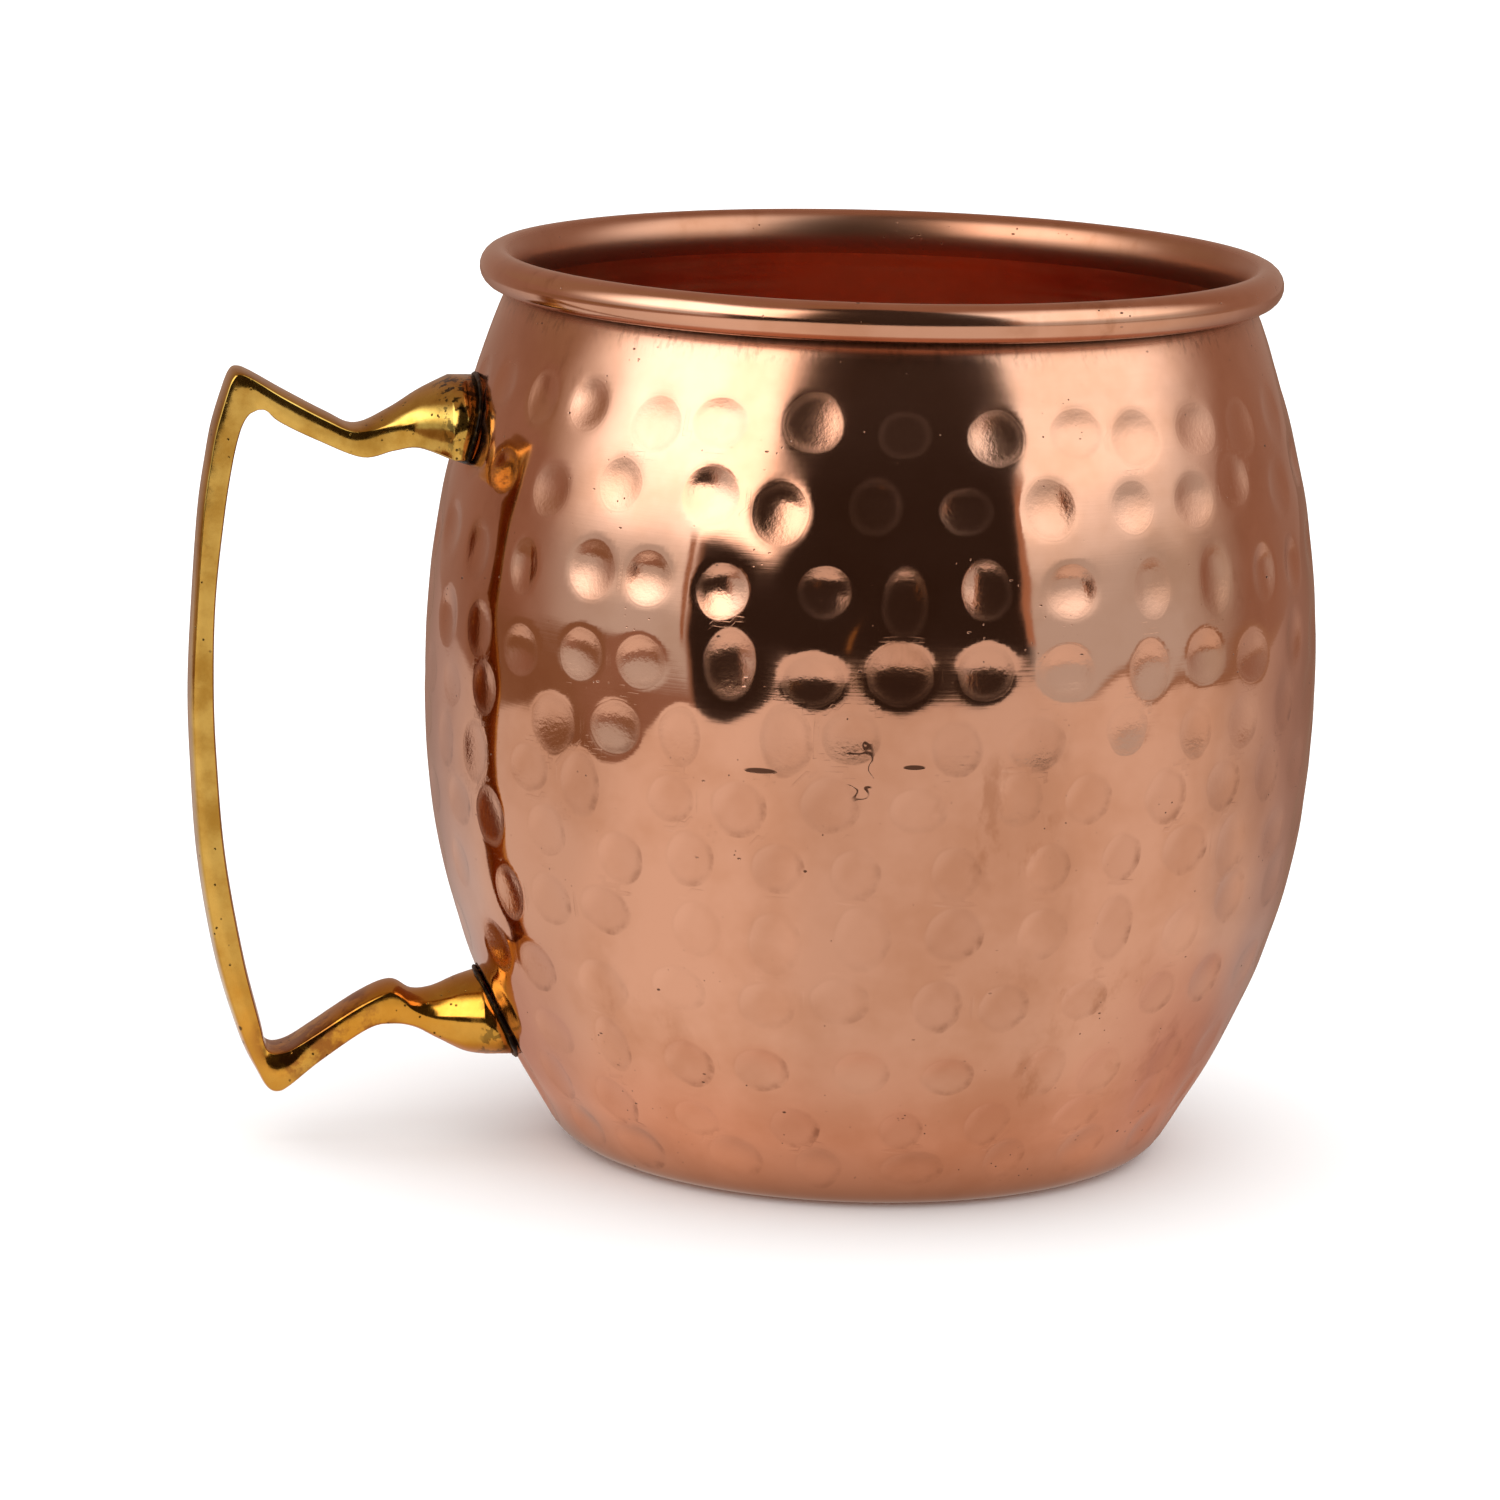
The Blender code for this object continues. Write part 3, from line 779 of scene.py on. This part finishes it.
def scaled_braze():
    """Braze under black scale: dark, lumpy and half dull."""
    material, tree, shader = started("braze under fire scale")
    place = add(tree, "ShaderNodeTexCoord").outputs["Object"]
    lumps = cloud(tree, place, 0.8, 4.0)
    colour = mixed(tree, share_of(tree, lumps, 0.5, 0.72), linear("#1A120D"), linear("#5A4022"))
    tree.links.new(colour, shader.inputs["Base Color"])
    tree.links.new(share_of(tree, lumps, 0.3, 0.7, 0.3, 0.5), shader.inputs["Roughness"])
    tree.links.new(bumped(tree, lumps, 0.12), shader.inputs["Normal"])
    return material


def drawn_wire():
    """Drawn steel wire with die lines along it."""
    material, tree, shader = started("drawn steel wire")
    place = add(tree, "ShaderNodeTexCoord").outputs["Object"]
    # die lines 0.3 mm apart, drawn coarser than the real ones to show
    lines = cloud(tree, place, 0.3, 2.0, (12.0, 12.0, 1.0))
    colour = mixed(tree, lines, linear("#A9A7A3"), linear("#8B8985"))
    tree.links.new(colour, shader.inputs["Base Color"])
    tree.links.new(share_of(tree, lines, 0.3, 0.7, 0.28, 0.4), shader.inputs["Roughness"])
    return material


def studio():
    """White studio: soft boxes left and right of a dark gap, and a dim room behind.

    Only reflections see it, and all other light is plain white. Bearings are in degrees
    from the front, to the right, rises are in degrees, and strengths are radiances. Every
    edge of a panel is soft and runs from its first number to its second.
    """
    plain_white = (1.6, 1.6, 1.6, 1.0)
    world = bpy.data.worlds.new("studio")
    bpy.context.scene.world = world
    world.use_nodes = True
    tree = world.node_tree
    tree.nodes.clear()

    toward = add(tree, "ShaderNodeSeparateXYZ",
                 {"Vector": add(tree, "ShaderNodeTexCoord").outputs["Generated"]})
    front = reckon(tree, "MULTIPLY", toward.outputs["Y"], -1.0)
    turn = reckon(tree, "ARCTAN2", toward.outputs["X"], front)
    bearing = reckon(tree, "MULTIPLY_ADD", turn, DEGREES, CAMERA_TURN)
    rise = reckon(tree, "MULTIPLY", reckon(tree, "ARCSINE", toward.outputs["Z"]), DEGREES)

    # both soft boxes are dimmer low down
    left_light = reckon(tree, "MULTIPLY_ADD", share_of(tree, rise, 2, 13), 1.4, 1.0)
    left_light = reckon(tree, "MULTIPLY_ADD", share_of(tree, rise, 9, 22), 1.8, left_light)
    right_light = reckon(tree, "MULTIPLY_ADD", share_of(tree, rise, 4, 12), 0.65, 0.95)
    right_light = reckon(tree, "MULTIPLY_ADD", share_of(tree, rise, 11, 21), 1.0, right_light)

    dim_room = linear("#AD9080")
    picture = dim_room
    for left, right, bottom, top, colour, strength in (
        # wall to the left, the two soft boxes, the dark gap and a bright strip over its left
        ((-150, -130), (-70, -76), (-30, -20), (9, 14), "#AD957F", 1.0),
        ((-106, -68), (-44, -47), (-6, -4), (62, 48), "#E6F5FF", left_light),
        ((18, 24), (120, 84), (-30, -20), (80, 50), "#E6F5FF", right_light),
        ((-45, -42), (42, 37), (-30, -20), (97, 88), "#38302B", 1.0),
        ((-48, -45), (-20, -34), (10, 14), (70, 45), "#FFFFFF", 3.7),
        # brown edge of the table, low on both sides
        ((-128, -112), (-66, -76), (-16, -12), (-2, -5), "#A0836A", 1.0),
        ((40, 46), (140, 115), (-9.5, -8.5), (-5, -6.5), "#B8A08C", 1.0),
        # seams on both sides of the dark gap and in it
        ((-49.5, -48.5), (-46, -47), (-3, 0), (14, 10), "#B98F70", 1.0),
        ((37.5, 38.5), (41.5, 40.5), (-3, 0), (24, 18), "#C9A186", 1.0),
        ((-6.0, -5.2), (-3.6, -4.4), (-3, -1), (6, 4), "#AC8758", 0.7),
    ):
        share = share_of(tree, bearing, *left)
        for value, edge in ((bearing, right), (rise, bottom), (rise, top)):
            share = reckon(tree, "MULTIPLY", share, share_of(tree, value, *edge))
        lit = add(tree, "ShaderNodeVectorMath", {0: linear(colour)[:3], 3: strength},
                  operation="SCALE").outputs[0]
        picture = mixed(tree, share, picture, lit)
    rays = add(tree, "ShaderNodeLightPath")
    seen = mixed(tree, rays.outputs["Is Glossy Ray"], plain_white, picture)
    background = add(tree, "ShaderNodeBackground", {"Color": seen, "Strength": 1.0})
    add(tree, "ShaderNodeOutputWorld", {"Surface": background.outputs[0]})


def pale_floor():
    """Matt white board, lying a hair below the mug so that the two don't share a face.

    In reflections it glows with painted light and shade, and ends where a table's
    edge would be.
    """
    below_the_mug = -0.00005
    corners = [(x * FLOOR_REACH, y * FLOOR_REACH, 0.0)
               for x, y in ((-1, -1), (1, -1), (1, 1), (-1, 1))]
    mesh = bpy.data.meshes.new("floor")
    mesh.from_pydata(corners, [], [(0, 1, 2, 3)])
    floor = bpy.data.objects.new("floor", mesh)
    floor.location = (0, 0, below_the_mug)
    floor.rotation_euler = (0, 0, math.radians(-CAMERA_TURN))
    bpy.context.scene.collection.objects.link(floor)
    material = bpy.data.materials.new("matt white board")
    material.use_nodes = True
    tree = material.node_tree
    shader = tree.nodes["Principled BSDF"]
    shader.inputs["Roughness"].default_value = 0.9
    shader.inputs["Specular IOR Level"].default_value = 0.0
    shader.inputs["Base Color"].default_value = linear("#F1F1F1")
    place = add(tree, "ShaderNodeTexCoord").outputs["Object"]
    spot = add(tree, "ShaderNodeSeparateXYZ", {"Vector": place})
    # the board's three table edges, in metres
    board = 1.0
    for axis, start, end in (("X", -0.30, -0.28), ("X", 0.46, 0.44), ("Y", -0.80, -0.78)):
        board = reckon(tree, "MULTIPLY", board, share_of(tree, spot.outputs[axis], start, end))
    front = reckon(tree, "MULTIPLY", spot.outputs["Y"], -1.0)
    turn = reckon(tree, "ARCTAN2", spot.outputs["X"], front)
    bearing = reckon(tree, "MULTIPLY", turn, DEGREES)
    # painted light: the glow is a little brighter to both sides, and dim and browner behind the
    # mug
    left = reckon(tree, "MULTIPLY", share_of(tree, bearing, -78, -45),
                  share_of(tree, bearing, -4, -30))
    right = reckon(tree, "MULTIPLY", share_of(tree, bearing, 34, 52),
                   share_of(tree, bearing, 100, 78))
    light = reckon(tree, "MULTIPLY_ADD", left, 0.17, 0.96)
    light = reckon(tree, "MULTIPLY_ADD", right, 0.09, light)
    behind = reckon(tree, "ABSOLUTE", reckon(tree, "ADD", bearing, 7.0))
    light = reckon(tree, "MULTIPLY", light, share_of(tree, behind, 74, 176, 1.0, 0.5))
    colour = mixed(tree, share_of(tree, behind, 95, 160),
                   (1.0, 0.985, 0.97, 1.0), linear("#D0A48C"))
    # painted shadow: the glow is darkest under the base's corner
    apart = add(tree, "ShaderNodeVectorMath", {0: place}, operation="LENGTH").outputs["Value"]
    light = reckon(tree, "MULTIPLY", light, share_of(tree, apart, 0.030, 0.039, 0.45, 1.0))
    # warm light thrown back by the copper, close to the base and most at its sides
    colour = mixed(tree, share_of(tree, apart, 0.058, 0.034), colour, linear("#F2D9CB"))
    beside = reckon(tree, "MULTIPLY", share_of(tree, apart, 0.095, 0.04),
                    share_of(tree, behind, 50, 100))
    colour = mixed(tree, beside, colour, linear("#D2A592"))
    lit = add(tree, "ShaderNodeEmission", {"Color": colour, "Strength": light})
    clear = add(tree, "ShaderNodeBsdfTransparent")
    mirrored = add(tree, "ShaderNodeMixShader",
                   {"Fac": board, 1: clear.outputs[0], 2: lit.outputs[0]})
    rays = add(tree, "ShaderNodeLightPath").outputs["Is Glossy Ray"]
    surface = add(tree, "ShaderNodeMixShader",
                  {"Fac": rays, 1: shader.outputs[0], 2: mirrored.outputs[0]})
    tree.links.new(surface.outputs[0], tree.nodes["Material Output"].inputs["Surface"])
    mesh.materials.append(material)


def camera():
    """A long lens a little above the rim, tilted."""
    data = bpy.data.cameras.new("camera")
    data.lens = 156.7
    data.sensor_width = 36.0
    data.clip_start = 0.05
    data.clip_end = 50.0
    eye = bpy.data.objects.new("camera", data)
    place = Vector((-112.63, -673.03, 177.87)) * MM
    target = Vector((-12.47, 1.11, 41.67)) * MM
    aim = (target - place).to_track_quat("-Z", "Y").to_matrix().to_4x4()
    tilt = Matrix.Rotation(math.radians(CAMERA_ROLL), 4, "Z")
    eye.matrix_world = Matrix.Translation(place) @ aim @ tilt
    bpy.context.scene.collection.objects.link(eye)
    bpy.context.scene.camera = eye


copper_body()
handle = brass_handle()
handle.data.materials.append(cast_brass())
sections = handle_sections()
braze = scaled_braze()
for bead in (braze_bead("upper_braze_bead", sections[0], "upper_braze_joint", 0.27, 1.0, 3.0),
             braze_bead("lower_braze_bead", sections[-1], "lower_braze_joint", 0.36, 0.0, 8.0)):
    bead.data.materials.append(braze)
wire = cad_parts["rim_wire"]
wire.data.materials.clear()
wire.data.materials.append(drawn_wire())

pale_floor()
studio()
camera()
bpy.context.scene.view_settings.view_transform = "Standard"
